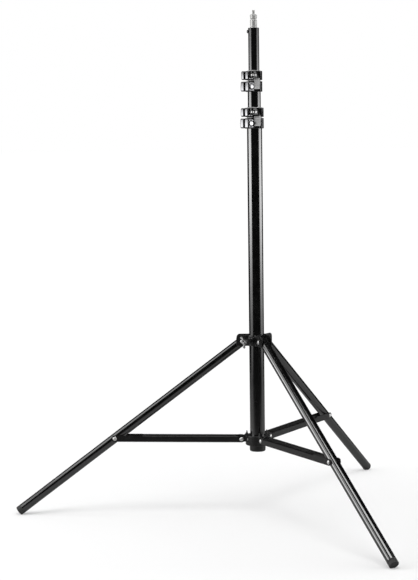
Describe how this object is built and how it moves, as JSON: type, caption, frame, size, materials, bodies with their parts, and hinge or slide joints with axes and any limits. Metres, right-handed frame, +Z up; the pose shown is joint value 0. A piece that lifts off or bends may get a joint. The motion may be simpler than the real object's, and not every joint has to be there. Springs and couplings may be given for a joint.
{
  "type": "light stand",
  "caption": "Folding light stand with a telescoping mast, flip-lever tube clamps, a sliding leg collar, channel braces and a threaded spigot.",
  "frame": {"origin": "centre of the flat bottom face of the cap that closes the mast, with the floor about 150 mm below it", "axes": "+Z up along the mast's axis, -X towards leg A, and legs B and C at 60 degrees either side of +X, B towards -Y"},
  "size_m": [0.8687, 0.9998, 1.1759],
  "materials": {
    "gloss_black_tube": "gloss black lacquer",
    "satin_black_casting": "satin black paint on a die casting",
    "satin_black_steel": "satin black paint on bent steel sheet",
    "chrome": "bright chrome plate",
    "steel": "bright zinc plate",
    "rubber": "matt dark grey moulded rubber",
    "black_plastic": "fine satin moulding",
    "grey_nylon": "plain grey nylon",
    "brass": "plain turned brass"
  },
  "bodies": {
    "mast_base": {"outer_tube": "gloss_black_tube", "mast_end_cap": "black_plastic", "lower_collar": "satin_black_casting", "lower_collar_screw": "steel", "lower_clamp_body": "chrome", "lower_clamp_liner": "grey_nylon", "lower_clamp_fixing_bolt": "chrome", "lower_clamp_fixing_nut": "steel", "lower_clamp_tension_bolt": "steel", "lower_clamp_tension_nut": "steel", "lower_clamp_lever_pin": "steel"},
    "lower_lever": {"lower_clamp_lever": "black_plastic"},
    "middle_section": {"middle_tube": "gloss_black_tube", "middle_tube_guide_bush": "grey_nylon", "middle_tube_air_seal": "rubber", "upper_clamp_body": "chrome", "upper_clamp_liner": "grey_nylon", "upper_clamp_fixing_bolt": "chrome", "upper_clamp_fixing_nut": "steel", "upper_clamp_tension_bolt": "steel", "upper_clamp_tension_nut": "steel", "upper_clamp_lever_pin": "steel"},
    "upper_lever": {"upper_clamp_lever": "black_plastic"},
    "top_section": {"top_tube": "gloss_black_tube", "top_tube_guide_bush": "grey_nylon", "top_tube_air_seal": "rubber", "spigot": "chrome", "spigot_screw": "satin_black_steel"},
    "leg_collar": {"leg_collar": "satin_black_casting", "leg_a_left_cheek_rivet": "steel", "leg_a_right_cheek_rivet": "steel", "leg_b_left_cheek_rivet": "steel", "leg_b_right_cheek_rivet": "steel", "leg_c_left_cheek_rivet": "steel", "leg_c_right_cheek_rivet": "steel", "lock_screw_pad": "brass"},
    "lock_screw": {"lock_screw_hub": "black_plastic", "lock_screw_wing": "steel"},
    "brace_a": {"brace_a": "satin_black_steel", "brace_a_collar_rivet": "steel", "brace_a_leg_rivet": "steel"},
    "brace_b": {"brace_b": "satin_black_steel", "brace_b_collar_rivet": "steel", "brace_b_leg_rivet": "steel"},
    "brace_c": {"brace_c": "satin_black_steel", "brace_c_collar_rivet": "steel", "brace_c_leg_rivet": "steel"},
    "leg_a": {"leg_a": "gloss_black_tube", "leg_a_top_plug": "black_plastic", "foot_a": "rubber"},
    "leg_b": {"leg_b": "gloss_black_tube", "leg_b_top_plug": "black_plastic", "foot_b": "rubber"},
    "leg_c": {"leg_c": "gloss_black_tube", "leg_c_top_plug": "black_plastic", "foot_c": "rubber"}
  },
  "joints": [
    {"name": "leg_collar_slide", "type": "slide", "parent": "mast_base", "child": "leg_collar", "axis": [0, 0, 1], "range_m": [0, 0.4456]},
    {"name": "brace_a_fold", "type": "hinge", "parent": "mast_base", "child": "brace_a", "pos_m": [-0.0377, 0, 0.0298], "axis": [0, 1, 0], "range_deg": [0, 86.5]},
    {"name": "brace_b_fold", "type": "hinge", "parent": "mast_base", "child": "brace_b", "pos_m": [0.01885, -0.03265, 0.0298], "axis": [-0.866, -0.5, 0], "range_deg": [0, 86.5]},
    {"name": "brace_c_fold", "type": "hinge", "parent": "mast_base", "child": "brace_c", "pos_m": [0.01885, 0.03265, 0.0298], "axis": [0.866, -0.5, 0], "range_deg": [0, 86.5]},
    {"name": "leg_a_fold", "type": "hinge", "parent": "brace_a", "child": "leg_a", "pos_m": [-0.33604, 0, 0.03253], "axis": [0, 1, 0], "range_deg": [-136.4, 0]},
    {"name": "leg_b_fold", "type": "hinge", "parent": "brace_b", "child": "leg_b", "pos_m": [0.16802, -0.29102, 0.03253], "axis": [-0.866, -0.5, 0], "range_deg": [-136.4, 0]},
    {"name": "leg_c_fold", "type": "hinge", "parent": "brace_c", "child": "leg_c", "pos_m": [0.16802, 0.29102, 0.03253], "axis": [0.866, -0.5, 0], "range_deg": [-136.4, 0]},
    {"name": "lock_screw_turn", "type": "hinge", "parent": "leg_collar", "child": "lock_screw", "pos_m": [0, 0, 0.26355], "axis": [-0.5299, -0.848, 0], "range_deg": [0, 360]},
    {"name": "middle_section_slide", "type": "slide", "parent": "mast_base", "child": "middle_section", "axis": [0, 0, 1], "range_m": [-0.035, 0.58]},
    {"name": "top_section_slide", "type": "slide", "parent": "middle_section", "child": "top_section", "axis": [0, 0, 1], "range_m": [-0.083, 0.549]},
    {"name": "lower_clamp_lever_turn", "type": "hinge", "parent": "mast_base", "child": "lower_lever", "pos_m": [-0.00438, -0.02984, 0.7946], "axis": [0, 0, 1], "range_deg": [-110, 0]},
    {"name": "upper_clamp_lever_turn", "type": "hinge", "parent": "middle_section", "child": "upper_lever", "pos_m": [-0.00262, -0.02807, 0.8788], "axis": [0, 0, 1], "range_deg": [-110, 0]}
  ],
  "couplings": [
    {"joint": "brace_a_fold", "follows": "leg_collar_slide", "rad_per_m": 3.3871},
    {"joint": "brace_b_fold", "follows": "leg_collar_slide", "rad_per_m": 3.3871},
    {"joint": "brace_c_fold", "follows": "leg_collar_slide", "rad_per_m": 3.3871},
    {"joint": "leg_a_fold", "follows": "leg_collar_slide", "rad_per_m": -5.3409},
    {"joint": "leg_b_fold", "follows": "leg_collar_slide", "rad_per_m": -5.3409},
    {"joint": "leg_c_fold", "follows": "leg_collar_slide", "rad_per_m": -5.3409}
  ]
}
